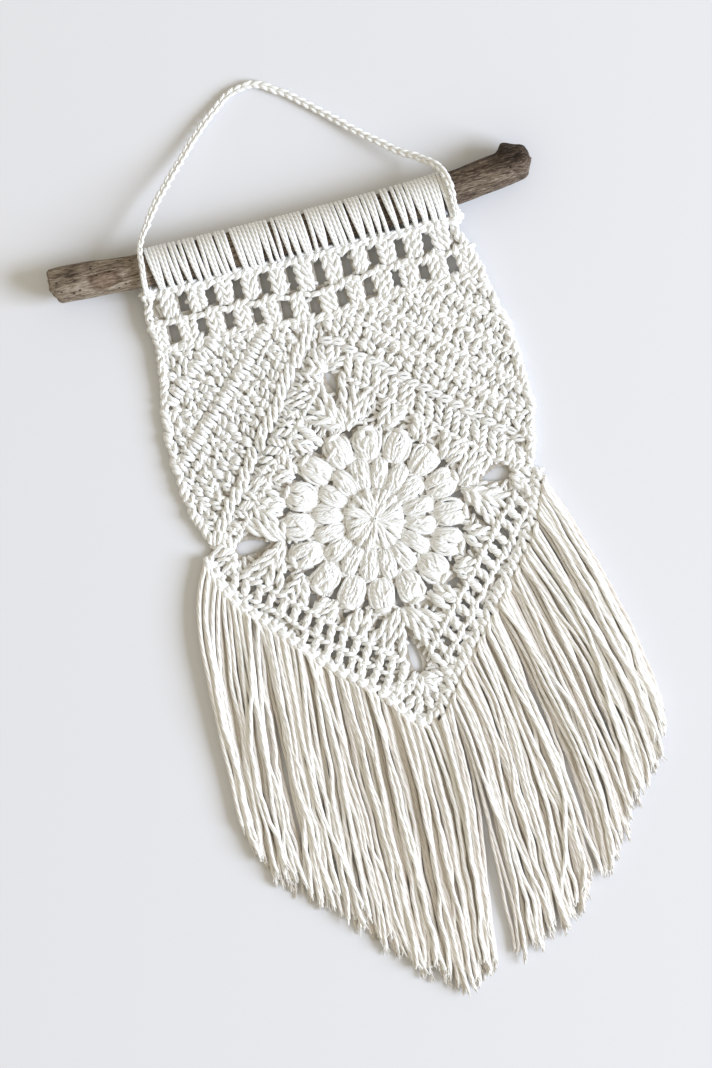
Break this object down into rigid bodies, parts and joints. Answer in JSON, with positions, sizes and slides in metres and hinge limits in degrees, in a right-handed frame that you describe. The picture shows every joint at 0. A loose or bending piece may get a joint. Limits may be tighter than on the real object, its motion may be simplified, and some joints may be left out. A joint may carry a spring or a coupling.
{
  "type": "crochet wall hanging on a driftwood stick",
  "caption": "Cotton crochet wall hanging with a raised sunburst square, open heading, fringed lower edges and chain hanging cord, lashed to a driftwood stick.",
  "frame": {"origin": "middle of the sunburst, on the back face of the cloth", "axes": "+X along the stick to the right, +Y up the hanging towards its cord, +Z out of the face of the cloth"},
  "size_m": [0.276, 0.5141, 0.0273],
  "materials": {
    "driftwood": "weathered bare wood, grey-brown with dark grain",
    "cotton_yarn": "matt plied cotton, undyed off-white"
  },
  "bodies": {
    "root": {"driftwood_stick": "driftwood", "yarn_wrap": "cotton_yarn", "crochet_panel": "cotton_yarn", "fringe_left": "cotton_yarn", "fringe_right": "cotton_yarn", "hanging_cord": "cotton_yarn"}
  },
  "joints": []
}
